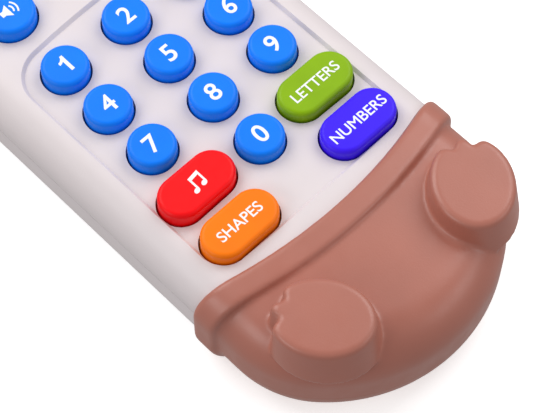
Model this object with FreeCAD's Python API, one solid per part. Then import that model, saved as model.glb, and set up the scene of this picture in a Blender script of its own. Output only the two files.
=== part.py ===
"""Toy phone for a baby: two moulded half casings, sixteen sprung keys, sound board, loudspeaker
and two AAA cells, with a soft boot over the lower end and a soft hood with ears over the upper end.

Millimetres. +X is the phone's right, +Y points to its top, +Z out of its face; it lies on its back.
Everything is drawn with Y = 0 on the first row of digit keys and is moved to the middle of the
whole length when it is written out.
"""
import FreeCAD, Part
import math
import os
from FreeCAD import Vector

# ---------------------------------------------------------------- key field
digit_radius = 6.0
column_space = 8.0          # between the edges of two digit keys
row_space = 3.5
pill_radius = 5.8
pill_reach = 4.85           # centre of a pill key to the centre of its round end
pill_side_space = 3.05      # "0" to the pill keys beside it
pill_top_space = 3.2        # last full row to the first row of pill keys
pill_row_space = 3.0
zero_space = 4.2            # last full row to "0"
function_radius = 6.6
function_space = 3.7        # recess border to the function keys
key_height = 3.7            # key top above the face around it
key_round = 1.2
key_gap = 0.5               # round each key in its hole
key_wall = 1.4
flange_width = 1.1
flange_thickness = 1.0
flange_gap = 0.1            # under the face, with the key up
stem_radius = 1.8

# ---------------------------------------------------------------- casing
recess_side = 2.2           # pill key to the recess's border
recess_above = 4.5          # first row to the border
recess_below = 1.3
recess_depth = 0.9
recess_slope = 0.9          # how far the recess's wall leans out
recess_top_corner = 10.5
recess_bottom_corner = 8.0
shoulder = 6.4             # recess border to the casing's side
head_length = 72.5          # recess border to the casing's upper tip
foot_length = 44.7          # recess border to the casing's lower tip
corner_inset = 11.2         # how much less than the half width the corner radius is
end_excess = 4.1            # how much more than the half width the end radius is
crown_radius = 377.0        # the face is slightly domed across its width
edge_round = 9.0
wall = 2.8
step = 1.5                  # the casing is this much slimmer under the boot and the hood
seam_height = 15.1          # parting line above the casing's back
seam_gap = 0.3
tongue_height = 1.4
tongue_gap = 0.1

# ---------------------------------------------------------------- soft boot and hood
soft_wall = 1.8
soft_gap = 0.2              # between the casing and what is pulled over it
soft_front_round = 11.5
soft_back_round = 10.0
mouth_curve = 118.0         # plan radius of the mouth's edge
mouth_margin = 4.9          # recess border to the boot's edge
hood_depth = 39.5           # casing's upper tip to the hood's edge
bead_width = 7.0
bead_height = 1.4           # above the boot's face
bead_round = 1.3
foot_spread = 24.75
foot_from_tip = 19.8
foot_long = 12.4
foot_short = 10.1
foot_tilt = 36.0            # degrees, long axis turned out
foot_height = 7.0           # top of the foot above the crown
foot_draft = 0.8
foot_lean = 0.6             # how far the foot leans towards its toes over its height
foot_round = 1.6
toe_depth = 2.2             # dip between two toes
toe_width = 9.0             # degrees, half of a dip as seen from the foot's middle
toe_angles = (17.5, -10.5)    # dips between the toes, from the foot's long axis
outline_points = 90         # points that each foot outline is drawn through
rim_steps = 4               # outlines in the rounded top edge
ear_spread = 26.0
ear_from_tip = 7.0
ear_radius = 12.0
ear_thickness = 13.0
ear_round = 2.5
ear_dish_radius = 7.5
ear_dish_depth = 1.5
eye_spread = 9.5
eye_radius = 2.2
muzzle_long = 7.5
muzzle_short = 5.0
face_lift = 1.6

# ---------------------------------------------------------------- inside
board_room = 3.3            # battery bay's roof to the board
board_thickness = 1.2
board_drop = 7.6            # recess floor to the board's upper side
board_side = 0.45           # board past the recess border
board_corner = 4.0
mat_thickness = 0.8
dome_radius = 4.0
dome_top_radius = 2.6
dome_wall = 0.8
stem_gap = 2.2              # mat to stem
board_post_radius = 2.4
board_screw_radius = 0.9
board_screw_head = 1.9
board_screw_length = 6.0
shell_screw_radius = 1.3
shell_screw_head = 2.6
shell_screw_length = 15.0
shell_post_radius = 3.6
shell_screw_sink = 4.0
shell_screw_x = 25.0
thread_gap = 0.02
lamp_radius = 1.5
lamp_height = 3.6
lamp_pitch = 6.0
window_radius = 3.2
window_reach = 8.5
window_space = 3.4          # function keys to the window
window_lip = 1.0
window_gap = 0.05

# battery bay, for two AAA cells lying side by side
cell_radius = 5.25
cell_length = 44.5
cell_nub = 1.0
cell_gap = 0.5
contact_room = 3.2          # at each end, for the spring or the flat contact
bay_wall = 1.2
bay_upper_end = -2.0
cover_thickness = 1.8
cover_gap = 0.25
cover_side = 3.4            # cover past the bay's inside
cover_screw_radius = 1.0
cover_screw_head = 2.0
cover_screw_length = 9.0
cover_post_radius = 2.6

# loudspeaker in the back
speaker_radius = 14.5
speaker_space = 2.4         # battery cover's seat to the loudspeaker
ring_lug_space = 1.2
speaker_flange = 1.0
gasket_thickness = 0.5
basket_depth = 4.4
magnet_share = 0.62         # magnet to loudspeaker
basket_lip = 2.2            # flange outside the basket
tag_rise = 2.0              # flange to the leads' tags
tag_reach = 0.3             # basket to the leads
magnet_height = 4.0
cone_wall = 0.5
ring_thickness = 1.4
sound_hole_radius = 0.9
sound_hole_pitch = 4.0
fit_gap = 0.1

# power switch in the back
switch_space = 3.3          # loudspeaker's screw post to the switch
switch_drop = 3.5           # below the loudspeaker's centre
switch_width = 4.6
switch_length = 9.0
switch_height = 4.2
can_wall = 0.5
switch_travel = 3.2
knob_width = 2.6
knob_length = 3.2
knob_stand = 0.3

lead_radius = 0.55

# ---------------------------------------------------------------- derived places
column_pitch = 2 * digit_radius + column_space
row_pitch = 2 * digit_radius + row_space
zero_row = -2 * row_pitch - 2 * digit_radius - zero_space
upper_pills = -2 * row_pitch - digit_radius - pill_top_space - pill_radius
pill_rows = (upper_pills, upper_pills - 2 * pill_radius - pill_row_space)
pill_x = digit_radius + pill_side_space + pill_radius + pill_reach
recess_half = pill_x + pill_reach + pill_radius + recess_side
recess_top = digit_radius + recess_above
recess_bottom = pill_rows[1] - pill_radius - recess_below
function_row = recess_top + function_space + function_radius
window_row = function_row + function_radius + window_space + window_radius
half_width = recess_half + shoulder
corner_radius = half_width - corner_inset
end_radius = half_width + end_excess
head_tip = recess_top + head_length
foot_tip = recess_bottom - foot_length
boot_edge = recess_bottom - mouth_margin
hood_edge = head_tip - hood_depth
soft_out = soft_wall + soft_gap - step
body_back = soft_out
inner_back = body_back + wall
seam = body_back + seam_height
cell_z = body_back + cover_thickness + cell_gap + cell_radius
cell_x = cell_radius + cell_gap / 4
bay_half = 2 * cell_radius + cell_gap
bay_top = cell_z + cell_radius + cell_gap
board_under = bay_top + bay_wall + board_room
board_top = board_under + board_thickness
floor_crown = board_top + board_drop
crown = floor_crown + recess_depth
mat_top = board_top + mat_thickness
stem_bottom = mat_top + stem_gap
board_half_width = recess_half + board_side
board_lower_end = recess_bottom + board_side
board_upper_end = window_row + window_radius + 1.5
bay_lower_end = bay_upper_end - cell_length - 2 * contact_room
cell_upper_end = bay_upper_end - contact_room
cell_lower_end = bay_lower_end + contact_room
cover_screw_rows = (bay_upper_end + bay_wall + cover_post_radius,
                    bay_lower_end - bay_wall - cover_post_radius)
shell_screw_rows = (boot_edge - 8.0, hood_edge + 12.0)
foot_row = foot_tip + foot_from_tip
foot_top = crown + foot_height
ear_row = head_tip - ear_from_tip
top_end = ear_row + ear_radius
bottom_end = foot_tip - soft_out
lap = (step + wall) / 2     # where the back half's tongue meets the front half's edge
to_middle = Vector(0, -(top_end + bottom_end) / 2, 0)
speaker_row = cover_screw_rows[0] + cover_post_radius + wall + speaker_space + speaker_radius
speaker_flange_z = inner_back + gasket_thickness
magnet_radius = magnet_share * speaker_radius
ring_post_x = speaker_radius + ring_lug_space + cover_post_radius
switch_x = ring_post_x + cover_post_radius + switch_space + switch_width / 2
switch_row = speaker_row - switch_drop
board_posts = ((0.0, function_row + 3.0), (-column_pitch / 2, -row_pitch / 2),
               (column_pitch / 2, -row_pitch / 2), (0.0, pill_rows[1]))


# ---------------------------------------------------------------- shapes used more than once
def crown_drop(x):
    return crown_radius - math.sqrt(crown_radius ** 2 - x ** 2)


def disc(x, y, low, high, radius):
    return Part.makeCylinder(radius, high - low, Vector(x, y, low))


def block(x0, x1, y0, y1, z0, z1):
    return Part.makeBox(x1 - x0, y1 - y0, z1 - z0, Vector(x0, y0, z0))


def joined(first, *others):
    return first.fuse(list(others)).removeSplitter()


def pill(x, y, low, high, radius, reach):
    """Upright prism with a stadium plan, long along X; a cylinder if reach is 0."""
    if reach == 0:
        return disc(x, y, low, high, radius)
    left, right = x - reach, x + reach
    edges = [Part.LineSegment(Vector(left, y - radius, low), Vector(right, y - radius, low)),
             Part.Arc(Vector(right, y - radius, low), Vector(right + radius, y, low),
                      Vector(right, y + radius, low)),
             Part.LineSegment(Vector(right, y + radius, low), Vector(left, y + radius, low)),
             Part.Arc(Vector(left, y + radius, low), Vector(left - radius, y, low),
                      Vector(left, y - radius, low))]
    wire = Part.Wire([edge.toShape() for edge in edges])
    return Part.Face(wire).extrude(Vector(0, 0, high - low))


def rounded_wire(half, low_y, high_y, low_corner, high_corner, z):
    """Rectangle from -half to half and low_y to high_y, with its own corner radius at each end."""
    cos45 = math.sqrt(0.5)
    corners = [(half, low_y, low_corner, 1, -1), (half, high_y, high_corner, 1, 1),
               (-half, high_y, high_corner, -1, 1), (-half, low_y, low_corner, -1, -1)]
    arcs = []
    for x, y, radius, sx, sy in corners:
        centre = Vector(x - sx * radius, y - sy * radius, z)
        along_x = centre + Vector(0, sy * radius, 0)
        along_y = centre + Vector(sx * radius, 0, 0)
        middle = centre + Vector(sx * radius * cos45, sy * radius * cos45, 0)
        arcs.append((along_x, middle, along_y) if sx * sy < 0 else (along_y, middle, along_x))
    edges = []
    for here, after in zip(arcs, arcs[1:] + arcs[:1]):
        edges.append(Part.Arc(*here).toShape())
        edges.append(Part.LineSegment(here[2], after[0]).toShape())
    return Part.Wire(edges)


def rounded_plate(half, low_y, high_y, corner, low, high):
    wire = rounded_wire(half, low_y, high_y, corner, corner, low)
    return Part.Face(wire).extrude(Vector(0, 0, high - low))


def casing_outline(inset, z):
    """Plan of the casing drawn in by inset: straight sides, a corner arc each, an end arc each."""
    side = half_width - inset
    across = half_width - corner_radius
    along = math.sqrt((end_radius - corner_radius) ** 2 - across ** 2)
    ends = []
    for tip, way in ((foot_tip, -1), (head_tip, 1)):
        end_centre = tip - way * end_radius
        corner_centre = end_centre + way * along
        outward = Vector(across, way * along, 0).normalize()
        meet = Vector(0, end_centre, z) + outward * (end_radius - inset)
        halfway = (Vector(1, 0, 0) + outward).normalize()
        corner_mid = Vector(across, corner_centre, z) + halfway * (corner_radius - inset)
        ends.append((corner_centre, corner_mid, meet, Vector(0, tip - way * inset, z)))

    def other(point):
        return Vector(-point.x, point.y, point.z)

    (low_y, low_mid, low_meet, low_tip), (high_y, high_mid, high_meet, high_tip) = ends
    low_side, high_side = Vector(side, low_y, z), Vector(side, high_y, z)
    edges = [Part.Arc(other(low_meet), low_tip, low_meet), Part.Arc(low_meet, low_mid, low_side),
             Part.LineSegment(low_side, high_side), Part.Arc(high_side, high_mid, high_meet),
             Part.Arc(high_meet, high_tip, other(high_meet)),
             Part.Arc(other(high_meet), other(high_mid), other(high_side)),
             Part.LineSegment(other(high_side), other(low_side)),
             Part.Arc(other(low_side), other(low_mid), other(low_meet))]
    return Part.Wire([edge.toShape() for edge in edges])


def crowned_solid(top, radius):
    """Long cylinder along Y that carries the domed face at height top."""
    start = Vector(0, 2 * foot_tip, top - radius)
    return Part.makeCylinder(radius, 2 * (head_tip - foot_tip), start, Vector(0, 1, 0))


def form(inset, front_round, back_round):
    """The phone's rounded body, drawn in by inset all round (drawn out if inset is negative)."""
    low = body_back + inset
    prism = Part.Face(casing_outline(inset, low)).extrude(Vector(0, 0, crown + 10 - low))
    body = prism.common(crowned_solid(crown - inset, crown_radius - inset))
    middle = (body_back + crown) / 2
    for radius, front in ((front_round, True), (back_round, False)):
        edges = []
        for edge in body.Edges:
            box = edge.BoundBox
            if (box.ZMin > middle) == front and box.ZLength < edge_round and edge.Length > 3:
                edges.append(edge)
        body = body.makeFillet(radius, edges)
    return body


def casing_form(inset):
    return form(inset, edge_round - inset, edge_round - inset)


def below(z):
    return block(-200, 200, -300, 300, -100, z)


def casing_outside():
    """The casing's outer form, stepped in where the boot and the hood go over it."""
    middle = casing_form(0)
    for edge_y, way in ((boot_edge, -1), (hood_edge, 1)):
        middle = middle.cut(beyond_curve(edge_y - way * soft_gap, way, mouth_curve))
    return joined(casing_form(step), middle)


def beyond_curve(edge_y, way, curve):
    """Everything past a mouth's curved edge: way -1 towards the foot, +1 towards the head."""
    far = edge_y + way * 300
    slab = block(-200, 200, min(far, edge_y - way * 60), max(far, edge_y - way * 60), -50, 100)
    return slab.cut(disc(0, edge_y - way * curve, -60, 110, curve))


def screw(x, y, head_z, head_radius, head_height, radius, length):
    """Pan-head screw driven upwards, with a cross recess; head_z is the head's lower side."""
    body = joined(disc(x, y, head_z, head_z + head_height, head_radius),
                  disc(x, y, head_z + head_height, head_z + head_height + length, radius))
    slot = head_radius * 0.55
    width = head_radius * 0.14
    depth = head_height * 0.5
    cross = block(x - slot, x + slot, y - width, y + width, head_z, head_z + depth).fuse(
        block(x - width, x + width, y - slot, y + slot, head_z, head_z + depth))
    return body.cut(cross)


def lead(points):
    """Round wire through the points, with the largest arc that each corner leaves room for."""
    edges = []
    start = points[0]
    for before, corner, after in zip(points, points[1:], points[2:]):
        to_before = before - corner
        to_after = after - corner
        trim = 0.45 * min(to_before.Length, to_after.Length)
        half_turn = to_before.getAngle(to_after) / 2
        begin = corner + to_before.normalize() * trim
        end = corner + to_after.normalize() * trim
        bisector = (to_before + to_after).normalize()
        radius = trim * math.tan(half_turn)
        middle = corner + bisector * (radius / math.sin(half_turn) - radius)
        edges.append(Part.LineSegment(start, begin).toShape())
        edges.append(Part.Arc(begin, middle, end).toShape())
        start = end
    edges.append(Part.LineSegment(start, points[-1]).toShape())
    path = Part.Wire(edges)
    first = (points[1] - points[0]).normalize()
    ring = Part.Wire(Part.makeCircle(lead_radius, points[0], first))
    return path.makePipeShell([ring], True, False)


# ---------------------------------------------------------------- keys
def key_list():
    """Name, x, y, radius, reach and whether the key stands in the recess, for every key."""
    keys = []
    for number in range(1, 10):
        row, column = divmod(number - 1, 3)
        keys.append((f"key_{number}", (column - 1) * column_pitch, -row * row_pitch, digit_radius, 0, True))
    keys.append(("key_0", 0.0, zero_row, digit_radius, 0, True))
    pills = (("music_key", -1, 0), ("letters_key", 1, 0), ("shapes_key", -1, 1), ("numbers_key", 1, 1))
    for name, side, row in pills:
        keys.append((name, side * pill_x, pill_rows[row], pill_radius, pill_reach, True))
    keys.append(("speaker_key", -pill_x, function_row, function_radius, 0, False))
    keys.append(("call_key", pill_x, function_row, function_radius, 0, False))
    return keys


def key_flange_top(x, radius, reach, in_recess):
    """Height of a raised key's flange, just under the lowest part of the face over it."""
    far = abs(x) + reach + radius + flange_width
    return (floor_crown if in_recess else crown) - wall - crown_drop(far) - flange_gap


def key_cap(x, y, radius, reach, in_recess):
    """Hollow cap with a flange that holds it under the face and a stem that meets its dome."""
    face = (floor_crown if in_recess else crown) - crown_drop(x)
    flange_top = key_flange_top(x, radius, reach, in_recess)
    top = face + key_height
    low = flange_top - flange_thickness
    cap = pill(x, y, low, top, radius, reach)
    rim = [edge for edge in cap.Edges if edge.BoundBox.ZMin > top - 0.01]
    cap = cap.makeFillet(key_round, rim)
    flange = pill(x, y, low, flange_top, radius + flange_width, reach)
    hollow = pill(x, y, low, top - key_wall, radius - key_wall, reach)
    stem = disc(x, y, stem_bottom, top - key_wall, stem_radius)
    return joined(cap, flange).cut(hollow).fuse(stem).removeSplitter()


# ---------------------------------------------------------------- casing halves
def recess_tool():
    """Dished tool for the keypad recess: domed floor, wall that leans outwards."""
    low = floor_crown - 4 * recess_depth
    high = crown + 2 * recess_depth
    lean = recess_slope / recess_depth
    grow_low = (low - crown) * lean
    grow_high = (high - crown) * lean
    wires = []
    for z, grow in ((low, grow_low), (high, grow_high)):
        wires.append(rounded_wire(recess_half + grow, recess_bottom - grow, recess_top + grow,
                                  recess_bottom_corner + grow, recess_top_corner + grow, z))
    prism = Part.makeLoft(wires, True, True)
    return prism.cut(crowned_solid(floor_crown, crown_radius - recess_depth))


def panel_backing():
    """Keeps the wall's thickness under the recess."""
    plan = rounded_plate(recess_half + wall, recess_bottom - wall, recess_top + wall,
                         recess_bottom_corner, seam, crown)
    skin = crowned_solid(crown - wall, crown_radius - wall).cut(
        crowned_solid(floor_crown - wall, crown_radius - recess_depth - wall))
    return plan.common(skin)


def tongue(low, high, gap):
    """Ring on the back half that stands inside the front half's edge."""
    band = block(-200, 200, -300, 300, low, high)
    return band.common(casing_form(lap + gap)).cut(casing_form(wall))


def front_shell():
    shell = casing_outside().cut(casing_form(wall)).cut(below(seam + seam_gap / 2))
    shell = shell.cut(block(-200, 200, -300, 300, seam, seam + tongue_height + tongue_gap).common(
        casing_form(lap)))
    backing = panel_backing().common(casing_form(wall / 2))
    shell = shell.fuse(backing).cut(recess_tool())
    posts = []
    for x, y in board_posts:
        posts.append(disc(x, y, board_top, crown - wall / 2, board_post_radius))
    for y in shell_screw_rows:
        for x in (-shell_screw_x, shell_screw_x):
            posts.append(disc(x, y, seam, crown - wall / 2, shell_post_radius))
    posts = posts[0].fuse(posts[1:]).common(casing_form(wall / 2)).common(
        crowned_solid(crown - wall / 2 - recess_depth, crown_radius - wall / 2 - recess_depth))
    shell = shell.fuse(posts)
    holes = []
    for x, y in board_posts:
        holes.append(disc(x, y, board_top, board_top + board_screw_length, board_screw_radius + thread_gap))
    for y in shell_screw_rows:
        for x in (-shell_screw_x, shell_screw_x):
            top = body_back + shell_screw_sink + shell_screw_length
            holes.append(disc(x, y, seam, top, shell_screw_radius + thread_gap))
    for name, x, y, radius, reach, in_recess in key_list():
        holes.append(pill(x, y, seam, crown + 5, radius + key_gap, reach))
        flange_top = key_flange_top(x, radius, reach, in_recess)
        holes.append(pill(x, y, seam, flange_top + flange_gap, radius + flange_width + key_gap, reach))
    holes.append(pill(0, window_row, seam, crown + 5, window_radius, window_reach))
    return shell.cut(holes).removeSplitter()


def light_window():
    """Milky lens pushed in from inside: a plug in the face's hole and a lip behind it."""
    plug = pill(0, window_row, seam, crown + 5, window_radius - window_gap, window_reach)
    plug = plug.common(crowned_solid(crown, crown_radius)).cut(below(crown - wall - 0.5))
    lip_top = crown - wall - crown_drop(window_reach + window_radius + window_lip) - window_gap
    lip = pill(0, window_row, lip_top - 1.0, lip_top, window_radius + window_lip, window_reach)
    link = pill(0, window_row, lip_top, crown - wall, window_radius - window_gap, window_reach)
    return joined(plug, lip, link)


def sound_holes():
    holes = []
    count = int((speaker_radius - 4) / sound_hole_pitch)
    for column in range(-count, count + 1):
        for row in range(-count, count + 1):
            x, y = column * sound_hole_pitch, row * sound_hole_pitch
            if math.hypot(x, y) < speaker_radius - 3.0:
                holes.append(disc(x, speaker_row + y, 0, inner_back + 1, sound_hole_radius))
    return holes


def switch_box(room):
    """Block that holds the slide switch's case with room round it."""
    end = switch_row + switch_travel / 2 - switch_length / 2
    half = switch_width / 2 + room
    return block(switch_x - half, switch_x + half, end - room, end + switch_length + room,
                 inner_back - room, inner_back + switch_height + room)


def back_shell():
    shell = casing_outside().cut(casing_form(wall))
    shell = shell.common(below(seam - seam_gap / 2))
    shell = shell.fuse(tongue(seam - seam_gap / 2 - wall, seam + tongue_height, tongue_gap))
    ledge = body_back + cover_thickness
    solids = [block(-bay_half - bay_wall, bay_half + bay_wall, bay_lower_end - bay_wall,
                    bay_upper_end + bay_wall, ledge, bay_top + bay_wall)]
    cover_half = bay_half + cover_side
    cover_low = cover_screw_rows[1] - cover_post_radius
    cover_high = cover_screw_rows[0] + cover_post_radius
    solids.append(rounded_plate(cover_half + wall, cover_low - wall, cover_high + wall, 3.0,
                                ledge, ledge + wall))
    for y in cover_screw_rows:
        solids.append(disc(0, y, ledge, ledge + cover_screw_length, cover_post_radius))
    for y in shell_screw_rows:
        for x in (-shell_screw_x, shell_screw_x):
            solids.append(disc(x, y, body_back + wall / 2, seam, shell_post_radius))
    ring_seat = speaker_flange_z + speaker_flange
    for x in (-ring_post_x, ring_post_x):
        solids.append(disc(x, speaker_row, body_back + wall / 2, ring_seat, cover_post_radius))
    shell = shell.fuse([solid.common(casing_form(step)) for solid in solids])
    holes = [block(-bay_half, bay_half, bay_lower_end, bay_upper_end, ledge - 1, bay_top),
             rounded_plate(cover_half + cover_gap, cover_low - cover_gap, cover_high + cover_gap,
                           2.0 + cover_gap, 0, ledge)]
    for y in cover_screw_rows:
        holes.append(disc(0, y, ledge, ledge + cover_screw_length - 1.5, cover_screw_radius + fit_gap))
    for y in shell_screw_rows:
        for x in (-shell_screw_x, shell_screw_x):
            holes.append(disc(x, y, 0, body_back + shell_screw_sink, shell_screw_head + fit_gap))
            holes.append(disc(x, y, 0, seam + 1, shell_screw_radius + fit_gap))
    for x in (-ring_post_x, ring_post_x):
        holes.append(disc(x, speaker_row, inner_back, ring_seat, board_screw_radius + thread_gap))
    slot_half = knob_width / 2 + fit_gap
    holes.append(block(switch_x - slot_half, switch_x + slot_half, switch_row - knob_length / 2 - fit_gap,
                       switch_row + knob_length / 2 + switch_travel + fit_gap, 0, inner_back + 1))
    nest = switch_box(fit_gap).cut(below(inner_back))
    return shell.cut(holes + [nest] + sound_holes()).removeSplitter()


def battery_cover():
    ledge = body_back + cover_thickness
    cover_half = bay_half + cover_side
    plate = rounded_plate(cover_half, cover_screw_rows[1] - cover_post_radius,
                          cover_screw_rows[0] + cover_post_radius, 2.0, body_back, ledge)
    holes = []
    for y in cover_screw_rows:
        holes.append(disc(0, y, 0, ledge, cover_screw_radius + fit_gap))
        holes.append(disc(0, y, 0, body_back + 1.1, cover_screw_head + fit_gap))
    for step in range(-3, 4):
        y = cover_screw_rows[0] - 8.0 + step * 1.5
        holes.append(block(-5, 5, y - 0.35, y + 0.35, 0, body_back + 0.4))
    return plate.cut(holes)


# ---------------------------------------------------------------- soft boot and hood
def sleeve(edge_y, way):
    """Soft cap over one end: face, side and back in one skin, with a round bead at its mouth."""
    skin = form(-soft_out, soft_front_round, soft_back_round)
    skin = skin.common(beyond_curve(edge_y + way * bead_width / 2, way, mouth_curve))
    lifted = soft_out + bead_height
    bead = form(-lifted, edge_round + lifted, edge_round + lifted)
    bead = bead.common(beyond_curve(edge_y, way, mouth_curve))
    bead = bead.cut(beyond_curve(edge_y + way * bead_width, way, mouth_curve + bead_width))
    rims = []
    for edge in bead.Edges:
        box = edge.BoundBox
        across = box.XLength > 0.01 and box.YLength > 0.01
        upright = box.ZLength > 1 and box.YLength < 0.01 and box.XLength < 0.01
        if across or upright:
            rims.append(edge)
    bead = bead.makeFillet(bead_round, rims)
    return skin, bead.cut(below(0))


def plan_ellipse(x, y, z, long_half, short_half, tilt):
    """Ellipse wire whose long axis leans from +Y towards +X by tilt degrees."""
    ellipse = Part.Ellipse(Vector(0, 0, 0), long_half, short_half)
    wire = Part.Wire(ellipse.toShape())
    wire.rotate(Vector(0, 0, 0), Vector(0, 0, 1), 90 - tilt)
    wire.translate(Vector(x, y, z))
    return wire


def foot_outline(x, y, z, grow, side):
    """Closed smooth outline of one foot: an oval with two soft dips between its toes."""
    points = []
    for point_index in range(outline_points):
        angle = 360 * point_index / outline_points - 180
        turned = math.radians(angle)
        reach = 1 / math.hypot(math.cos(turned) / (foot_long + grow), math.sin(turned) / (foot_short + grow))
        for toe_angle in toe_angles:
            reach -= toe_depth * math.exp(-((angle - toe_angle) / toe_width) ** 2)
        heading = math.radians(90 - side * (foot_tilt - angle))
        points.append(Vector(x + reach * math.cos(heading), y + reach * math.sin(heading), z))
    curve = Part.BSplineCurve()
    curve.interpolate(Points=points, PeriodicFlag=True)
    return Part.Wire(curve.toShape())


def foot(side):
    """Raised foot with draft and a rounded top edge."""
    x = side * foot_spread
    root = crown - crown_drop(foot_spread + foot_short) - wall
    shoulder = foot_top - foot_round
    rise = (shoulder - root) / foot_height
    base = foot_outline(x, foot_row - rise * foot_lean, root, rise * foot_draft, side)
    rim = []
    for rim_index in range(rim_steps + 1):
        turned = math.radians(90 * rim_index / rim_steps)
        inset = foot_round * (1 - math.cos(turned))
        rim.append(foot_outline(x, foot_row, shoulder + foot_round * math.sin(turned), -inset, side))
    leg = Part.makeLoft([base, rim[0]], True, True)
    return leg.fuse(Part.makeLoft(rim, True, False))


def foot_boot():
    skin, bead = sleeve(boot_edge, -1)
    solid = skin.fuse([bead, foot(-1), foot(1)])
    return solid.cut(casing_form(step - soft_gap)).removeSplitter()


def ear(side):
    x = side * ear_spread
    top = crown + foot_height
    body = disc(x, ear_row, top - ear_thickness, top, ear_radius)
    body = body.makeFillet(ear_round, [edge for edge in body.Edges if edge.BoundBox.ZLength < 0.01])
    dish = disc(x, ear_row, top - ear_dish_depth, top + 1, ear_dish_radius)
    low = [edge for edge in dish.Edges if edge.BoundBox.ZMax < top]
    return body.cut(dish.makeFillet(ear_dish_depth * 0.9, low))


def head_hood():
    skin, bead = sleeve(hood_edge, 1)
    top = crown + soft_out
    features = [bead, ear(-1), ear(1)]
    eye_row = hood_edge + bead_width + 13.0
    for x in (-eye_spread, eye_spread):
        features.append(Part.makeSphere(eye_radius, Vector(x, eye_row, top - eye_radius + face_lift)))
    muzzle = Part.Face(plan_ellipse(0, eye_row - 6.0, top - 1, muzzle_long, muzzle_short, 90))
    muzzle = muzzle.extrude(Vector(0, 0, 1 + face_lift))
    muzzle = muzzle.makeFillet(1.2, [edge for edge in muzzle.Edges if edge.BoundBox.ZMin > top])
    features.append(muzzle)
    solid = skin
    for feature in features:
        solid = solid.fuse(feature)
    return solid.cut(casing_form(step - soft_gap)).removeSplitter()


# ---------------------------------------------------------------- board, mat and small parts
def key_mat():
    """Silicone sheet on the board with a hollow dome under each key."""
    sheet = rounded_plate(board_half_width, board_lower_end, window_row - window_radius - 2, board_corner,
                          board_top, mat_top)
    domes, hollows = [], []
    for name, x, y, radius, reach, in_recess in key_list():
        height = stem_bottom - mat_top
        domes.append(Part.makeCone(dome_radius, dome_top_radius, height, Vector(x, y, mat_top)))
        hollows.append(Part.makeCone(dome_radius - dome_wall, dome_top_radius - dome_wall,
                                     height + mat_thickness - dome_wall, Vector(x, y, board_top)))
    holes = [disc(x, y, board_top, mat_top, board_post_radius + key_gap) for x, y in board_posts]
    return sheet.fuse(domes).cut(hollows + holes).removeSplitter()


def main_board():
    board = rounded_plate(board_half_width, board_lower_end, board_upper_end, board_corner,
                          board_under, board_top)
    return board.cut([disc(x, y, board_under, board_top, board_screw_radius + fit_gap)
                      for x, y in board_posts])


def board_screws():
    head = 1.2
    return [screw(x, y, board_under - head, board_screw_head, head, board_screw_radius, board_screw_length)
            for x, y in board_posts]


def shell_screws():
    head = 1.8
    z = body_back + shell_screw_sink - head
    return [screw(x, y, z, shell_screw_head, head, shell_screw_radius, shell_screw_length - 0.5)
            for y in shell_screw_rows for x in (-shell_screw_x, shell_screw_x)]


def cover_screws():
    return [screw(0, y, body_back + 0.1, cover_screw_head, 1.0, cover_screw_radius, cover_screw_length - 2.0)
            for y in cover_screw_rows]


def lamps():
    """Three-millimetre lamps on the board behind the window."""
    made = []
    for step in (-1, 0, 1):
        x = step * lamp_pitch
        dome_z = board_top + lamp_height - lamp_radius
        dome = Part.makeSphere(lamp_radius, Vector(x, window_row, dome_z))
        made.append(joined(disc(x, window_row, board_top, board_top + 0.8, lamp_radius + 0.3),
                           disc(x, window_row, board_top, dome_z, lamp_radius), dome))
    return made


def sound_chip():
    """Blob of black resin over the chip."""
    x, y, radius, height = -22.0, -6.0, 5.0, 1.6
    ball = (radius ** 2 + height ** 2) / (2 * height)
    dome = Part.makeSphere(ball, Vector(x, y, board_under - height + ball))
    return dome.common(disc(x, y, board_under - height - 1, board_under, radius + 1))


def capacitor():
    x = bay_half + bay_wall + 5.0
    radius = 2.0
    can = Part.makeCylinder(radius, 8.0, Vector(x, -24.0, board_under - radius), Vector(0, 1, 0))
    return can.makeFillet(0.4, [edge for edge in can.Edges if edge.BoundBox.YLength < 0.01])


# ---------------------------------------------------------------- cells and contacts
def cell(x, way):
    """AAA cell; way is +1 with its positive end towards the top."""
    body = Part.makeCylinder(cell_radius, cell_length - cell_nub, Vector(0, 0, 0), Vector(0, 1, 0))
    body = body.makeFillet(0.5, [edge for edge in body.Edges if edge.BoundBox.YLength < 0.01])
    nub = Part.makeCylinder(1.9, cell_nub, Vector(0, cell_length - cell_nub, 0), Vector(0, 1, 0))
    body = joined(body, nub)
    if way < 0:
        body.rotate(Vector(0, 0, 0), Vector(0, 0, 1), 180)
    start = cell_lower_end if way > 0 else cell_upper_end
    body.translate(Vector(x, start, cell_z))
    return body


def contact_plate(x, y, way):
    thickness = 0.4
    near = y if way > 0 else y - thickness
    return block(x - 4.2, x + 4.2, near, near + thickness, cell_z - 4.2, cell_z + 4.2)


def spring_contact(x, way):
    """Plate on the bay's end wall and a coil that presses on a cell's flat end."""
    end = bay_lower_end if way > 0 else bay_upper_end
    plate = contact_plate(x, end, way)
    wire_radius = 0.35
    turns = 3
    base = 0.4 + wire_radius
    length = contact_room - base - wire_radius
    helix = Part.makeHelix(length / turns, length, 3.0)
    ring = Part.Wire(Part.makeCircle(wire_radius, Vector(3.0, 0, 0), Vector(0, 1, 0)))
    coil = Part.Wire(helix.Edges).makePipeShell([ring], True, True)
    coil.rotate(Vector(0, 0, 0), Vector(1, 0, 0), -90 * way)
    coil.translate(Vector(x, end + way * base, cell_z))
    foot_block = block(x + 2.4, x + 3.6,
                       min(end, end + way * (base + 0.1)), max(end, end + way * (base + 0.1)),
                       cell_z - 0.6, cell_z + 0.6)
    return plate.fuse([foot_block, coil])


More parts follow.
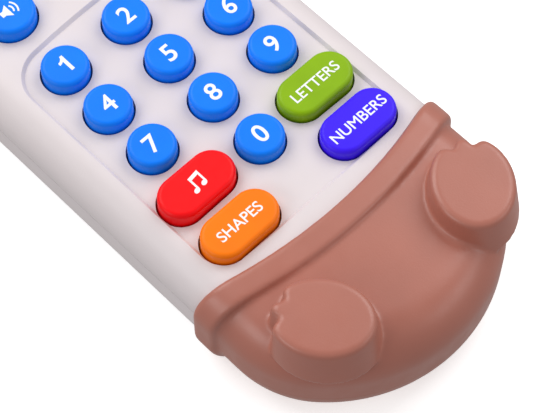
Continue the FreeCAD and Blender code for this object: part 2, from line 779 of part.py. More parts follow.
def flat_contact(x, way):
    """Plate with a pressed boss that meets a cell's positive end."""
    end = bay_upper_end if way > 0 else bay_lower_end
    plate = contact_plate(x, end, -way)
    start = Vector(x, end - way * contact_room, cell_z)
    boss = Part.makeCylinder(1.5, contact_room - 0.2, start, Vector(0, way, 0))
    return joined(plate, boss)


# ---------------------------------------------------------------- loudspeaker and switch
def spun(points, y):
    """Solid of revolution about the speaker's axis from (radius, height) points."""
    corners = [Vector(radius, 0, height) for radius, height in points]
    face = Part.Face(Part.makePolygon(corners + corners[:1]))
    solid = face.revolve(Vector(0, 0, 0), Vector(0, 0, 1), 360)
    solid.translate(Vector(0, y, 0))
    return solid


def speaker_frame():
    low = speaker_flange_z
    seat = low + speaker_flange
    top = low + basket_depth
    return spun([(speaker_radius - 1.5, low), (speaker_radius, low), (speaker_radius, seat),
                 (speaker_radius - basket_lip, seat), (magnet_radius, top), (4.0, top), (4.0, top - 0.8),
                 (magnet_radius - 0.6, top - 0.8)], speaker_row)


def speaker_cone():
    low = speaker_flange_z
    deep = low + basket_depth - 1.4
    return spun([(0.0, deep - cone_wall), (3.2, deep - cone_wall), (speaker_radius - 2.6, low),
                 (speaker_radius - 1.6, low), (speaker_radius - 2.4, low + cone_wall), (3.4, deep),
                 (0.0, deep)], speaker_row)


def speaker_magnet():
    low = speaker_flange_z + basket_depth
    magnet = disc(0, speaker_row, low, low + magnet_height, magnet_radius - 0.5)
    return magnet.makeFillet(0.5, [edge for edge in magnet.Edges if edge.BoundBox.ZLength < 0.01])


def speaker_gasket():
    ring = disc(0, speaker_row, inner_back, speaker_flange_z, speaker_radius)
    return ring.cut(disc(0, speaker_row, inner_back, speaker_flange_z, speaker_radius - 1.5))


def speaker_ring():
    """Clamp over the speaker's flange, with a lug each side for its screw."""
    low = speaker_flange_z + speaker_flange
    high = low + ring_thickness
    ring = disc(0, speaker_row, low, high, speaker_radius + 0.8)
    lugs = pill(0, speaker_row, low, high, cover_post_radius, ring_post_x)
    holes = [disc(0, speaker_row, low, high, speaker_radius - 2.0)]
    for x in (-ring_post_x, ring_post_x):
        holes.append(disc(x, speaker_row, low, high, board_screw_radius + fit_gap))
    return joined(ring, lugs).cut(holes)


def ring_screws():
    seat = speaker_flange_z + speaker_flange + ring_thickness
    made = []
    for x in (-ring_post_x, ring_post_x):
        upright = screw(x, speaker_row, -1.2, board_screw_head, 1.2, board_screw_radius, 2.6)
        upright.rotate(Vector(x, speaker_row, 0), Vector(1, 0, 0), 180)
        upright.translate(Vector(0, 0, seat))
        made.append(upright)
    return made


def switch_case():
    """Steel can of the slide switch, open towards the back wall for its slider."""
    hollow = switch_box(-can_wall).fuse(switch_box(-can_wall).translated(Vector(0, 0, -can_wall)))
    return switch_box(0).cut(hollow)


def switch_slider():
    low = inner_back
    half = switch_width / 2 - can_wall - fit_gap
    y = switch_row
    long_half = knob_length / 2 + 0.7
    carriage = block(switch_x - half, switch_x + half, y - long_half, y + long_half, low + 0.1, low + 2.4)
    knob = block(switch_x - knob_width / 2, switch_x + knob_width / 2,
                 y - knob_length / 2, y + knob_length / 2,
                 body_back - knob_stand, low + 0.2)
    ridges = [block(switch_x - knob_width, switch_x + knob_width, y + dy - 0.2, y + dy + 0.2,
                    body_back - knob_stand, body_back - knob_stand + 0.3) for dy in (-1.0, 0.0, 1.0)]
    return joined(carriage, knob.cut(ridges))


# ---------------------------------------------------------------- leads
def speaker_leads():
    """Two wires from the tags on the speaker's basket up to the board."""
    made = []
    basket_top = speaker_radius - basket_lip
    slope = (basket_top - magnet_radius) / (basket_depth - speaker_flange)
    reach = basket_top - tag_rise * slope + tag_reach
    for x in (-2.0, 2.0):
        start = Vector(x, speaker_row - reach, speaker_flange_z + speaker_flange + tag_rise)
        bend = start + Vector(0, -3.0, 5.0)
        made.append(lead([start, bend, Vector(bend.x, bend.y, board_under)]))
    return made


def battery_leads():
    """Two wires from the contacts, over the bay's upper end wall, up to the board."""
    made = []
    for x in (-cell_radius, cell_radius):
        start = Vector(x, bay_upper_end + bay_wall + lead_radius + 0.1, bay_top - 5.0)
        bend = start + Vector(0, 0, 4.0)
        rise = bend + Vector(x * 0.4, 2.0, 2.0)
        made.append(lead([start, bend, rise, Vector(rise.x, rise.y, board_under)]))
    return made


# ---------------------------------------------------------------- write the pieces
def export(name, shape):
    if isinstance(shape, list):
        shape = Part.makeCompound(shape)
    placed = shape.copy()
    placed.translate(to_middle)
    solids = placed.Solids
    if not solids or not placed.isValid():
        raise ValueError(f"{name} is not a valid solid")
    if len(solids) == 1:
        placed = solids[0]
    placed.exportStep(f"parts/{name}.step")
    box = placed.BoundBox
    print(f"{name:16s} solids {len(solids)} volume {placed.Volume:9.1f} "
          f"x {box.XMin:6.1f} {box.XMax:6.1f} y {box.YMin:7.1f} {box.YMax:7.1f} "
          f"z {box.ZMin:5.1f} {box.ZMax:5.1f}")


os.makedirs("parts", exist_ok=True)
for key_name, key_x, key_y, key_radius, key_reach, key_in_recess in key_list():
    export(key_name, key_cap(key_x, key_y, key_radius, key_reach, key_in_recess))
export("front_shell", front_shell())
export("back_shell", back_shell())
export("battery_cover", battery_cover())
export("foot_boot", foot_boot())
export("head_hood", head_hood())
export("light_window", light_window())
export("key_mat", key_mat())
export("main_board", main_board())
export("board_screws", board_screws())
export("shell_screws", shell_screws())
export("cover_screws", cover_screws())
export("lamps", lamps())
export("sound_chip", sound_chip())
export("capacitor", capacitor())
export("cell_left", cell(-cell_x, 1))
export("cell_right", cell(cell_x, -1))
export("spring_contacts", [spring_contact(-cell_x, 1), spring_contact(cell_x, -1)])
export("flat_contacts", [flat_contact(-cell_x, 1), flat_contact(cell_x, -1)])
export("speaker_frame", speaker_frame())
export("speaker_cone", speaker_cone())
export("speaker_magnet", speaker_magnet())
export("speaker_gasket", speaker_gasket())
export("speaker_ring", speaker_ring())
export("ring_screws", ring_screws())
export("switch_case", switch_case())
export("switch_slider", switch_slider())
export("speaker_leads", speaker_leads())
export("battery_leads", battery_leads())
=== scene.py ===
import bmesh
import bpy
import math
from mathutils import Matrix, Vector


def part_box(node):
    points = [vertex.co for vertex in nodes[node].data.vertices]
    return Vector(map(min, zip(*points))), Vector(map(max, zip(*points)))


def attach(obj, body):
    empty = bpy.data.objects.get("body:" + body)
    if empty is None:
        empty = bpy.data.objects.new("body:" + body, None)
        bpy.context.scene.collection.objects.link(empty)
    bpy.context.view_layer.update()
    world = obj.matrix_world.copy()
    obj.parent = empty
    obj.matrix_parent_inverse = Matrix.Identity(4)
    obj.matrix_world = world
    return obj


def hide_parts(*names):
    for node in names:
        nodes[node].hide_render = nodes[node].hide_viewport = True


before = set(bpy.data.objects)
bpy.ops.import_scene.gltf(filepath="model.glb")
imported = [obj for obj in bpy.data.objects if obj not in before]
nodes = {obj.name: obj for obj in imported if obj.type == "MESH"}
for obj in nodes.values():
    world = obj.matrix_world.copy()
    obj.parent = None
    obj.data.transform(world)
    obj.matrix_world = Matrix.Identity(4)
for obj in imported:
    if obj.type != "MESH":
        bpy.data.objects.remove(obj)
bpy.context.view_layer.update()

mm = 0.001

# ---- Camera -------------------------------------------------------------------------------------
# Looks down on the keypad's lower end from the phone's lower left, and is placed from the key "2"
# in the first row and from the floor of the keypad recess, which its top stands clear of.
KEY_STAND = 3.7 * mm
AIM_LEFT = 9.9 * mm
AIM_BELOW_KEY_2 = 62.3 * mm
AZIMUTH = math.radians(-44.53)
ELEVATION = math.radians(61.95)
DISTANCE = 459 * mm
SENSOR_WIDTH = 36
FOCAL_LENGTH = 128.1
key_2_low, key_2_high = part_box("key_2")
recess_floor = key_2_high.z - KEY_STAND
aim = Vector((-AIM_LEFT, (key_2_low.y + key_2_high.y) / 2 - AIM_BELOW_KEY_2, recess_floor))
back = Vector((math.sin(AZIMUTH) * math.cos(ELEVATION), -math.cos(AZIMUTH) * math.cos(ELEVATION),
               math.sin(ELEVATION)))
camera_data = bpy.data.cameras.new("camera")
camera_data.sensor_width = SENSOR_WIDTH
camera_data.lens = FOCAL_LENGTH
camera_data.clip_start = 10 * mm
camera_data.clip_end = 50
camera = bpy.data.objects.new("camera", camera_data)
camera.location = aim + back * DISTANCE
camera.rotation_euler = (-back).to_track_quat("-Z", "Y").to_euler()
bpy.context.scene.collection.objects.link(camera)
bpy.context.scene.camera = camera

# ---- Back shell and its screws ------------------------------------------------------------------
# The back half of the casing is injection moulded in off-white ABS with a fine satin texture.
# Four self-tapping screws in sunk holes pull it against the front half.
CASING_WHITE = (0.71, 0.64, 0.65)
SCREW_STEEL = (0.52, 0.51, 0.50)
CLOUD_LOW = 0.3               # noise values where a cloud's darkest and lightest tints begin
CLOUD_HIGH = 0.7
EDGE_BEGINS = 0.995           # cosine between the true and the softened surface at an edge's foot
EDGE_FULL = 0.90
RUBBED_WHITE = 0.4            # how far a fully rubbed edge has gone towards white


def paint(node, material):
    """Gives the whole piece one material."""
    piece = nodes[node] if isinstance(node, str) else node
    piece.data.materials.clear()
    piece.data.materials.append(material)
    for face in piece.data.polygons:
        face.material_index = 0


def moulded(name, colour, rough, cloud=12 * mm, tint=0.03, grain=0.3 * mm, depth=0.01 * mm,
            uneven=0.05, metal=0.0, gloss=0.5, rubbed=0.0, rub_width=0.35 * mm):
    """A moulded or rolled finish: cloudy tint, fine grain, uneven gloss and paler rubbed edges."""
    material = bpy.data.materials.new(name)
    material.use_nodes = True
    tree = material.node_tree
    make, join = tree.nodes.new, tree.links.new
    shader = tree.nodes["Principled BSDF"]
    shader.inputs["Metallic"].default_value = metal
    shader.inputs["Specular IOR Level"].default_value = gloss
    place = make("ShaderNodeTexCoord")
    clouds = make("ShaderNodeTexNoise")
    clouds.inputs["Scale"].default_value = 1 / cloud
    clouds.inputs["Detail"].default_value = 4
    join(place.outputs["Object"], clouds.inputs["Vector"])
    shade = make("ShaderNodeValToRGB")
    shade.color_ramp.elements[0].position = CLOUD_LOW
    shade.color_ramp.elements[0].color = (*(part * (1 - tint) for part in colour), 1)
    shade.color_ramp.elements[1].position = CLOUD_HIGH
    shade.color_ramp.elements[1].color = (*(min(1, part * (1 + tint)) for part in colour), 1)
    join(clouds.outputs["Fac"], shade.inputs["Fac"])
    surface = shade.outputs["Color"]
    if rubbed:
        softened = make("ShaderNodeBevel")
        softened.samples = 4
        softened.inputs["Radius"].default_value = rub_width
        shape = make("ShaderNodeNewGeometry")
        facing = make("ShaderNodeVectorMath")
        facing.operation = "DOT_PRODUCT"
        join(softened.outputs["Normal"], facing.inputs[0])
        join(shape.outputs["Normal"], facing.inputs[1])
        edges = make("ShaderNodeMapRange")
        edges.inputs["From Min"].default_value = EDGE_BEGINS
        edges.inputs["From Max"].default_value = EDGE_FULL
        edges.inputs["To Max"].default_value = rubbed
        join(facing.outputs["Value"], edges.inputs["Value"])
        patches = make("ShaderNodeMath")
        patches.operation = "MULTIPLY"
        join(edges.outputs["Result"], patches.inputs[0])
        join(clouds.outputs["Fac"], patches.inputs[1])
        worn = make("ShaderNodeMix")
        worn.data_type = "RGBA"
        paler = [(1 - RUBBED_WHITE) * part + RUBBED_WHITE for part in colour]
        worn.inputs["B"].default_value = (*paler, 1)
        join(patches.outputs["Value"], worn.inputs["Factor"])
        join(surface, worn.inputs["A"])
        surface = worn.outputs["Result"]
    join(surface, shader.inputs["Base Color"])
    handling = make("ShaderNodeTexNoise")
    handling.inputs["Scale"].default_value = 3 / cloud
    handling.inputs["Detail"].default_value = 6
    join(place.outputs["Object"], handling.inputs["Vector"])
    sheen_spread = make("ShaderNodeMapRange")
    sheen_spread.inputs["From Min"].default_value = CLOUD_LOW
    sheen_spread.inputs["From Max"].default_value = CLOUD_HIGH
    sheen_spread.inputs["To Min"].default_value = rough - uneven
    sheen_spread.inputs["To Max"].default_value = rough + uneven
    join(handling.outputs["Fac"], sheen_spread.inputs["Value"])
    join(sheen_spread.outputs["Result"], shader.inputs["Roughness"])
    texture = make("ShaderNodeTexNoise")
    texture.inputs["Scale"].default_value = 1 / grain
    texture.inputs["Detail"].default_value = 2
    join(place.outputs["Object"], texture.inputs["Vector"])
    raised = make("ShaderNodeBump")
    raised.inputs["Distance"].default_value = depth
    join(texture.outputs["Fac"], raised.inputs["Height"])
    join(raised.outputs["Normal"], shader.inputs["Normal"])
    return material


casing_plastic = moulded("casing_plastic", CASING_WHITE, 0.42, tint=0.012, depth=0.012 * mm,
                         gloss=0.4, rubbed=0.35)
screw_steel = moulded("screw_steel", SCREW_STEEL, 0.34, cloud=2 * mm, tint=0.12, grain=0.12 * mm,
                      depth=0.006 * mm, metal=1.0, rubbed=0.5, rub_width=0.1 * mm)
paint("back_shell", casing_plastic)
paint("shell_screws", screw_steel)

# ---- Battery bay --------------------------------------------------------------------------------
# Two AAA cells lie side by side between a plated coil spring and a plated flat contact each.
# A cover of the casing's plastic closes the bay and is held by two screws that stay in it.
SLEEVE_GREY = (0.05, 0.055, 0.06)
SLEEVE_BAND = (0.62, 0.22, 0.03)
CAN_STEEL = (0.60, 0.59, 0.57)
NICKEL = (0.66, 0.63, 0.57)
SLEEVE_END = 0.035            # bare can at each end, as a share of the cell's length
BAND_SHARE = 0.3              # the coloured band, as a share of it
SPECK_SIZE = 0.8 * mm
SPECK_DEPTH = 0.12


def cell_sleeve(name, node, plus_is_high):
    """Printed shrink sleeve with a coloured band at the plus end, and bare can at both ends."""
    material = moulded(name, SLEEVE_GREY, 0.3, cloud=5 * mm, tint=0.1, grain=0.4 * mm, metal=0.4)
    tree = material.node_tree
    make, join = tree.nodes.new, tree.links.new
    low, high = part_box(node)
    place = make("ShaderNodeTexCoord")
    parts = make("ShaderNodeSeparateXYZ")
    join(place.outputs["Object"], parts.inputs["Vector"])
    along = make("ShaderNodeMapRange")
    along.inputs["From Min"].default_value = low.y if plus_is_high else high.y
    along.inputs["From Max"].default_value = high.y if plus_is_high else low.y
    join(parts.outputs["Y"], along.inputs["Value"])
    bands = make("ShaderNodeValToRGB")
    bands.color_ramp.interpolation = "CONSTANT"
    bands.color_ramp.elements[0].color = (*CAN_STEEL, 1)
    bands.color_ramp.elements[1].position = SLEEVE_END
    bands.color_ramp.elements[1].color = (*SLEEVE_GREY, 1)
    for position, colour in ((1 - BAND_SHARE, SLEEVE_BAND), (1 - SLEEVE_END, CAN_STEEL)):
        bands.color_ramp.elements.new(position).color = (*colour, 1)
    join(along.outputs["Result"], bands.inputs["Fac"])
    noise = make("ShaderNodeTexNoise")
    noise.inputs["Scale"].default_value = 1 / SPECK_SIZE
    join(place.outputs["Object"], noise.inputs["Vector"])
    speck = make("ShaderNodeMix")
    speck.data_type = "RGBA"
    speck.blend_type = "MULTIPLY"
    speck.inputs["Factor"].default_value = SPECK_DEPTH
    join(bands.outputs["Color"], speck.inputs["A"])
    join(noise.outputs["Color"], speck.inputs["B"])
    join(speck.outputs["Result"], tree.nodes["Principled BSDF"].inputs["Base Color"])
    return material


paint("cell_left", cell_sleeve("sleeve_left", "cell_left", True))
paint("cell_right", cell_sleeve("sleeve_right", "cell_right", False))
nickel_plate = moulded("nickel_plate", NICKEL, 0.26, cloud=3 * mm, tint=0.08, grain=0.2 * mm,
                       depth=0.004 * mm, metal=1.0)
paint("spring_contacts", nickel_plate)
paint("flat_contacts", nickel_plate)
paint("battery_cover", casing_plastic)
paint("cover_screws", screw_steel)

# ---- Loudspeaker --------------------------------------------------------------------------------
# A small loudspeaker with a pressed steel frame, a ferrite magnet and a coated paper cone sits on
# a foam ring over the holes in the back, under a clamping ring with its own screws.
FRAME_ZINC = (0.5, 0.5, 0.48)
CONE_BLACK = (0.018, 0.018, 0.02)
FERRITE = (0.045, 0.043, 0.042)
FOAM_GREY = (0.06, 0.06, 0.065)
RING_GREY = (0.22, 0.22, 0.23)
paint("speaker_frame", moulded("zinc_plate", FRAME_ZINC, 0.4, cloud=6 * mm, tint=0.15,
                               grain=0.6 * mm, metal=1.0))
paint("speaker_cone", moulded("coated_paper", CONE_BLACK, 0.75, cloud=3 * mm, tint=0.35,
                              grain=0.25 * mm, depth=0.04 * mm))
paint("speaker_magnet", moulded("ferrite", FERRITE, 0.55, cloud=2 * mm, tint=0.3,
                                grain=0.15 * mm, depth=0.02 * mm))
paint("speaker_gasket", moulded("foam", FOAM_GREY, 0.9, cloud=1.2 * mm, tint=0.4,
                                grain=0.35 * mm, depth=0.12 * mm, gloss=0.2))
paint("speaker_ring", moulded("grey_plastic", RING_GREY, 0.45, tint=0.05, rubbed=0.3))
paint("ring_screws", screw_steel)

# ---- Slide switch -------------------------------------------------------------------------------
# A two-position switch with a black nylon case, pressed into its nest in the back shell. Its knob
# comes out through a slot in the back.
SWITCH_BLACK = (0.02, 0.02, 0.022)
switch_nylon = moulded("switch_nylon", SWITCH_BLACK, 0.38, cloud=4 * mm, tint=0.2,
                       grain=0.2 * mm, depth=0.015 * mm, rubbed=0.25, rub_width=0.2 * mm)
paint("switch_case", switch_nylon)
paint("switch_slider", switch_nylon)

# ---- Leads --------------------------------------------------------------------------------------
# Stranded copper leads in soft PVC run from the board to the battery contacts, in red, and to the
# loudspeaker's tags, in black. Their ends are soldered.
LEAD_RED = (0.5, 0.02, 0.02)
LEAD_BLACK = (0.015, 0.015, 0.016)
paint("battery_leads", moulded("red_pvc", LEAD_RED, 0.4, cloud=2 * mm, tint=0.1, grain=0.3 * mm))
paint("speaker_leads", moulded("black_pvc", LEAD_BLACK, 0.4, cloud=2 * mm, tint=0.2, grain=0.3 * mm))

# ---- Circuit board ------------------------------------------------------------------------------
# A glass-fibre board with green solder mask carries the chip under a resin drop, a capacitor and
# the lamps that light the keypad. Four screws hold it to the front half.
SOLDER_MASK = (0.012, 0.16, 0.045)
RESIN_BLACK = (0.012, 0.012, 0.013)
CAPACITOR_BLUE = (0.03, 0.06, 0.22)
LAMP_CLEAR = (0.82, 0.82, 0.74)
paint("main_board", moulded("solder_mask", SOLDER_MASK, 0.3, cloud=6 * mm, tint=0.18,
                            grain=0.5 * mm, depth=0.02 * mm))
paint("sound_chip", moulded("potting_resin", RESIN_BLACK, 0.25, cloud=3 * mm, tint=0.3,
                            grain=0.7 * mm, depth=0.03 * mm))
paint("capacitor", moulded("capacitor_sleeve", CAPACITOR_BLUE, 0.3, cloud=3 * mm, tint=0.15))
paint("lamps", moulded("lamp_resin", LAMP_CLEAR, 0.12, cloud=2 * mm, tint=0.04, gloss=0.6))
paint("board_screws", screw_steel)

# ---- Key mat ------------------------------------------------------------------------------------
# One moulded sheet of grey silicone lies on the circuit board. It has a hollow dome under every
# key, which gives way when the key is pressed and springs it back.
SILICONE_GREY = (0.42, 0.42, 0.43)
paint("key_mat", moulded("grey_silicone", SILICONE_GREY, 0.62, cloud=8 * mm, tint=0.06,
                         grain=0.5 * mm, depth=0.02 * mm, gloss=0.3))

# ---- Keys ---------------------------------------------------------------------------------------
# Solid-coloured ABS caps with softly rounded rims, each free to be pressed on its own. White
# digits, words and signs are pad printed on their flat tops, and read along the phone's width.
KEY_BLUE = (0.0, 0.195, 0.93)
KEY_RED = (0.90, 0.0, 0.003)
KEY_GREEN = (0.235, 0.43, 0.0)
KEY_ORANGE = (0.95, 0.195, 0.0)
KEY_PURPLE = (0.045, 0.008, 0.90)
PRINT_WHITE = (0.86, 0.87, 0.88)
PRINT_LIFT = 0.02 * mm
INK_THICKNESS = 0.02 * mm
PATCH_STEP = 0.008            # each patch of a sign lies this much over the last, in millimetres
DIGIT_HEIGHT = 5.0 * mm
WORD_HEIGHT = 2.9 * mm
DIGIT_STROKE = 0.016          # added to the font's strokes, as a share of its size
WORD_STROKE = 0.011


def key_plastic(name, colour):
    """Solid-coloured satin plastic, a little paler along the rims."""
    return moulded(name, colour, 0.40, cloud=7 * mm, tint=0.045, grain=0.28 * mm,
                   depth=0.012 * mm, gloss=0.22, rubbed=0.15, rub_width=0.3 * mm)


blue_plastic = key_plastic("blue_plastic", KEY_BLUE)
printed_white = moulded("printed_white", PRINT_WHITE, 0.5, cloud=1.5 * mm, tint=0.025,
                        grain=0.12 * mm, depth=0.006 * mm, gloss=0.3)
pill_plastics = {"music_key": key_plastic("red_plastic", KEY_RED),
                 "letters_key": key_plastic("green_plastic", KEY_GREEN),
                 "shapes_key": key_plastic("orange_plastic", KEY_ORANGE),
                 "numbers_key": key_plastic("purple_plastic", KEY_PURPLE)}
for node in nodes:
    if node.endswith("_key") or node.startswith("key_") and node != "key_mat":
        paint(node, pill_plastics.get(node, blue_plastic))


def on_key(name, mesh, key):
    """Puts a flat print on the middle of a key's top and lets it move with the key."""
    low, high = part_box(key)
    xs = [vertex.co.x for vertex in mesh.vertices]
    ys = [vertex.co.y for vertex in mesh.vertices]
    middle = Vector(((low.x + high.x - min(xs) - max(xs)) / 2,
                     (low.y + high.y - min(ys) - max(ys)) / 2, high.z + PRINT_LIFT))
    mesh.transform(Matrix.Translation(middle))
    mesh.name = name
    piece = bpy.data.objects.new(name, mesh)
    bpy.context.scene.collection.objects.link(piece)
    paint(piece, printed_white)
    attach(piece, key)


def printed_text(key, words, height, stroke):
    """Bold lettering of a given capital height."""
    letters = bpy.data.curves.new(f"{key}_letters", "FONT")
    letters.body = words
    letters.size = 1
    letters.bevel_depth = stroke
    letters.bevel_resolution = 2
    letters.resolution_u = 8
    writing = bpy.data.objects.new(f"{key}_letters", letters)
    bpy.context.scene.collection.objects.link(writing)
    bpy.context.view_layer.update()
    drawn = writing.evaluated_get(bpy.context.evaluated_depsgraph_get())
    mesh = bpy.data.meshes.new_from_object(drawn)
    bpy.data.objects.remove(writing)
    ys = [vertex.co.y for vertex in mesh.vertices]
    scale = height / (max(ys) - min(ys))
    mesh.transform(Matrix.Diagonal((scale, scale, INK_THICKNESS / stroke, 1)))
    on_key(f"{key}_print", mesh, key)


for digit in (0, 2, 3, 4, 5, 6, 7, 8, 9):
    printed_text(f"key_{digit}", str(digit), DIGIT_HEIGHT, DIGIT_STROKE)
for word in ("letters", "shapes", "numbers"):
    printed_text(f"{word}_key", word.upper(), WORD_HEIGHT, WORD_STROKE)


def disc_print(sign, x, y, across, tall, turn=0.0):
    """Filled oval, in millimetres, turned by some degrees."""
    place = Matrix.Translation((x, y, len(sign.faces) * PATCH_STEP))
    turned = Matrix.Rotation(math.radians(turn), 4, "Z")
    shape = place @ turned @ Matrix.Diagonal((across / 2, tall / 2, 1, 1))
    bmesh.ops.create_circle(sign, cap_ends=True, segments=32, radius=1, matrix=shape)


def patch_print(sign, *corners):
    """Filled patch between corners that go round it anticlockwise, in millimetres."""
    lift = len(sign.faces) * PATCH_STEP
    sign.faces.new([sign.verts.new((x, y, lift)) for x, y in corners])


def arc_print(sign, x, y, inner, outer, start, sweep):
    """Band bent round a point, from a start angle, in millimetres and degrees."""
    across = Vector((math.cos(math.radians(start)), math.sin(math.radians(start)), 0))
    ends = [sign.verts.new(Vector((x, y, 0)) + across * reach) for reach in (inner, outer)]
    edge = sign.edges.new(ends)
    bmesh.ops.spin(sign, geom=[*ends, edge], cent=(x, y, 0), axis=(0, 0, 1),
                   angle=math.radians(sweep), steps=20)


def sign_on_key(sign, key, turn=0.0):
    """Turns every patch of a sign face up, and puts the sign on its key."""
    for face in sign.faces:
        face.normal_update()
    flipped = [face for face in sign.faces if face.normal.z < 0]
    bmesh.ops.reverse_faces(sign, faces=flipped)
    turned = Matrix.Rotation(math.radians(turn), 4, "Z")
    bmesh.ops.transform(sign, matrix=Matrix.Scale(mm, 4) @ turned, verts=sign.verts)
    mesh = bpy.data.meshes.new(f"{key}_print")
    sign.to_mesh(mesh)
    sign.free()
    on_key(f"{key}_print", mesh, key)


one = bmesh.new()
patch_print(one, (0.9, 0.0), (1.85, 0.0), (1.85, 5.0), (1.1, 5.0), (0.9, 4.3))
patch_print(one, (0.9, 3.35), (0.9, 4.4), (0.4, 3.9), (-0.35, 3.65), (-0.35, 2.85), (0.3, 3.0))
sign_on_key(one, "key_1")

notes = bmesh.new()
disc_print(notes, 0.0, 0.0, 1.7, 1.3, 20)
disc_print(notes, 2.7, 0.45, 1.7, 1.3, 20)
patch_print(notes, (0.30, 0.1), (0.84, 0.1), (0.84, 3.2), (0.30, 3.2))
patch_print(notes, (3.00, 0.55), (3.54, 0.55), (3.54, 3.6), (3.00, 3.6))
patch_print(notes, (0.30, 2.75), (3.54, 3.2), (3.54, 4.2), (0.30, 3.75))
sign_on_key(notes, "music_key")

loud = bmesh.new()
patch_print(loud, (0.0, -0.8), (1.0, -0.8), (1.0, 0.8), (0.0, 0.8))
patch_print(loud, (1.0, -0.8), (2.5, -2.0), (2.5, 2.0), (1.0, 0.8))
arc_print(loud, 2.0, 0, 1.35, 1.8, -42, 84)
arc_print(loud, 2.0, 0, 2.45, 2.9, -42, 84)
sign_on_key(loud, "speaker_key")

handset = bmesh.new()
arc_print(handset, 0, 0, 2.3, 3.5, 215, 110)
patch_print(handset, (-3.35, -2.3), (-1.75, -1.2), (-2.35, -0.35), (-3.95, -1.45))
patch_print(handset, (1.75, -1.2), (3.35, -2.3), (3.95, -1.45), (2.35, -0.35))
sign_on_key(handset, "call_key", -45)

# ---- Front shell and light window ---------------------------------------------------------------
# The front half carries the keypad in a shallow recess, and all keys come up through it. A milky
# window above the keypad spreads the lamps' light, and is held from inside.
WINDOW_MILK = (0.80, 0.79, 0.76)
paint("front_shell", casing_plastic)
milky_plastic = moulded("milky_plastic", WINDOW_MILK, 0.3, cloud=9 * mm, tint=0.02, gloss=0.5)
milk = milky_plastic.node_tree.nodes["Principled BSDF"]
milk.inputs["Subsurface Weight"].default_value = 0.3
milk.inputs["Subsurface Scale"].default_value = 2 * mm
paint("light_window", milky_plastic)

# ---- Soft boot and hood -------------------------------------------------------------------------
# Two slip-on covers moulded in brown silicone: a boot with two feet over the lower end, and a hood
# with ears over the upper end. Each grips the casing with a thick rolled rim, so edges are soft.
SILICONE_BROWN = (0.405, 0.140, 0.099)
SKIN_STEP = 0.50 * mm
EASE_SHARE = 0.5
EASE_ROUNDS = 4
MERGE_WITHIN = 0.001 * mm
PARTING_HEIGHT = 10.0 * mm
PARTING_WIDTH = 0.22 * mm
PARTING_RISE = 0.05 * mm
brown_silicone = moulded("brown_silicone", SILICONE_BROWN, 0.38, cloud=16 * mm, tint=0.035,
                         grain=0.45 * mm, depth=0.02 * mm, uneven=0.06, gloss=0.5)
soft_sheen = brown_silicone.node_tree.nodes["Principled BSDF"]
soft_sheen.inputs["Coat Weight"].default_value = 0.12
soft_sheen.inputs["Coat Roughness"].default_value = 0.3


def parting_line(material, height):
    """Fine raised line where the two halves of the mould met."""
    tree = material.node_tree
    make, join = tree.nodes.new, tree.links.new
    place = make("ShaderNodeTexCoord")
    parts = make("ShaderNodeSeparateXYZ")
    join(place.outputs["Object"], parts.inputs["Vector"])
    away = make("ShaderNodeMath")
    away.operation = "SUBTRACT"
    away.inputs[1].default_value = height
    join(parts.outputs["Z"], away.inputs[0])
    distance = make("ShaderNodeMath")
    distance.operation = "ABSOLUTE"
    join(away.outputs["Value"], distance.inputs[0])
    line = make("ShaderNodeMapRange")
    line.interpolation_type = "SMOOTHSTEP"
    line.inputs["From Max"].default_value = PARTING_WIDTH
    line.inputs["To Min"].default_value = 1
    line.inputs["To Max"].default_value = 0
    join(distance.outputs["Value"], line.inputs["Value"])
    ridge = make("ShaderNodeBump")
    ridge.inputs["Distance"].default_value = PARTING_RISE
    join(line.outputs["Result"], ridge.inputs["Height"])
    grain = next(node for node in tree.nodes if node.type == "BUMP" and node is not ridge)
    join(grain.outputs["Normal"], ridge.inputs["Normal"])
    join(ridge.outputs["Normal"], tree.nodes["Principled BSDF"].inputs["Normal"])


parting_line(brown_silicone, PARTING_HEIGHT)


def soft_cover(node, name):
    """Resurfaces a cover evenly and eases its edges, as they come from a mould."""
    solid = bmesh.new()
    solid.from_mesh(nodes[node].data)
    bmesh.ops.remove_doubles(solid, verts=solid.verts, dist=MERGE_WITHIN)
    mesh = bpy.data.meshes.new(f"{name}_solid")
    solid.to_mesh(mesh)
    solid.free()
    blank = bpy.data.objects.new(f"{name}_solid", mesh)
    bpy.context.scene.collection.objects.link(blank)
    skin = blank.modifiers.new("skin", "REMESH")
    skin.mode = "VOXEL"
    skin.voxel_size = SKIN_STEP
    skin.use_smooth_shade = True
    ease = blank.modifiers.new("ease", "SMOOTH")
    ease.factor = EASE_SHARE
    ease.iterations = EASE_ROUNDS
    bpy.context.view_layer.update()
    finished = blank.evaluated_get(bpy.context.evaluated_depsgraph_get())
    eased = bpy.data.meshes.new_from_object(finished)
    eased.name = name
    bpy.data.objects.remove(blank)
    cover = bpy.data.objects.new(name, eased)
    bpy.context.scene.collection.objects.link(cover)
    paint(cover, brown_silicone)
    for face in eased.polygons:
        face.use_smooth = True
    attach(cover, node)
    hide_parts(node)


soft_cover("foot_boot", "soft_boot")
soft_cover("head_hood", "soft_hood")

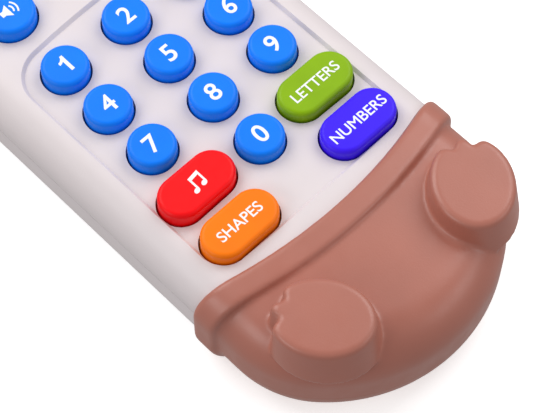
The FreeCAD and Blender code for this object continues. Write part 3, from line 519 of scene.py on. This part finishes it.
# ---- Eyes ---------------------------------------------------------------------------------------
# The hood's two plain round eyes are low domes moulded with it in silicone. Dark ink is printed
# over them, so it is a thin glossy cap on each dome and moves with the hood.
EYE_BROWN = (0.022, 0.012, 0.010)
EYE_SPREAD = 9.5 * mm
EYE_RADIUS = 2.3 * mm
EYE_BACK = 26.75 * mm
EYE_BELOW_EARS = 7.1 * mm
EYE_ROOT = 0.8 * mm
hood_low, hood_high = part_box("head_hood")
eyes = bmesh.new()
for side in (-1, 1):
    centre = Vector((side * EYE_SPREAD, hood_low.y + EYE_BACK, hood_high.z - EYE_BELOW_EARS))
    bmesh.ops.create_uvsphere(eyes, u_segments=32, v_segments=24, radius=EYE_RADIUS,
                              matrix=Matrix.Translation(centre))
cut = bmesh.ops.bisect_plane(eyes, geom=[*eyes.verts, *eyes.edges, *eyes.faces], clear_inner=True,
                             plane_co=centre - Vector((0, 0, EYE_ROOT)), plane_no=(0, 0, 1))
rims = [part for part in cut["geom_cut"] if isinstance(part, bmesh.types.BMEdge)]
bmesh.ops.holes_fill(eyes, edges=rims)
bmesh.ops.recalc_face_normals(eyes, faces=eyes.faces)
eye_mesh = bpy.data.meshes.new("eye_print")
eyes.to_mesh(eye_mesh)
eyes.free()
for face in eye_mesh.polygons:
    face.use_smooth = True
eye_print = bpy.data.objects.new("eye_print", eye_mesh)
bpy.context.scene.collection.objects.link(eye_print)
paint(eye_print, moulded("eye_ink", EYE_BROWN, 0.22, cloud=2 * mm, tint=0.2, grain=0.3 * mm))
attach(eye_print, "head_hood")

# ---- Floor and light ----------------------------------------------------------------------------
# A white light table under an even surround, with large soft lamps beyond the phone's upper end
# and on its right, and weak ones low in front and on its left. The table throws no light back
# onto the phone.
TABLE_WHITE = (0.93, 0.93, 0.93)
TABLE_SIZE = 3
TABLE_GAP = 0.2 * mm
TABLE_GLOW = 0.45
SURROUND = 0.45
WHITE_LIGHT = (1, 1, 1, 1)
LIT_POINT = Vector((0, -50 * mm, 0))
floor_mesh = bpy.data.meshes.new("floor")
floor = bmesh.new()
bmesh.ops.create_grid(floor, x_segments=1, y_segments=1, size=TABLE_SIZE)
floor.to_mesh(floor_mesh)
floor.free()
floor_object = bpy.data.objects.new("floor", floor_mesh)
floor_object.location.z = -TABLE_GAP
bpy.context.scene.collection.objects.link(floor_object)
light_table = moulded("light_table", TABLE_WHITE, 0.8, cloud=300 * mm, tint=0.004,
                      grain=2 * mm, gloss=0.1)
table_top = light_table.node_tree.nodes["Principled BSDF"]
table_top.inputs["Emission Color"].default_value = WHITE_LIGHT
table_top.inputs["Emission Strength"].default_value = TABLE_GLOW
light_table.cycles.emission_sampling = "NONE"
paint(floor_object, light_table)
floor_object.visible_diffuse = False
floor_object.visible_glossy = False


def softbox(name, place, size, power):
    """Large flat lamp that faces the phone, with its power in watts."""
    data = bpy.data.lights.new(name, "AREA")
    data.shape = "RECTANGLE"
    data.size, data.size_y = size
    data.energy = power
    lamp = bpy.data.objects.new(name, data)
    lamp.location = Vector(place)
    lamp.rotation_euler = (LIT_POINT - lamp.location).to_track_quat("-Z", "Y").to_euler()
    bpy.context.scene.collection.objects.link(lamp)


world = bpy.data.worlds.new("studio")
world.use_nodes = True
surround = world.node_tree.nodes["Background"]
surround.inputs["Color"].default_value = WHITE_LIGHT
surround.inputs["Strength"].default_value = SURROUND
bpy.context.scene.world = world
bpy.context.scene.view_settings.view_transform = "Standard"
softbox("upper_box", (-0.10, 0.65, 0.70), (0.7, 0.6), 4.6)
softbox("right_box", (0.68, 0.02, 0.70), (0.6, 0.6), 4.0)
softbox("front_box", (0.45, -0.65, 0.45), (0.5, 0.3), 1.0)
softbox("left_box", (-0.75, 0.10, 0.40), (0.5, 0.3), 1.6)
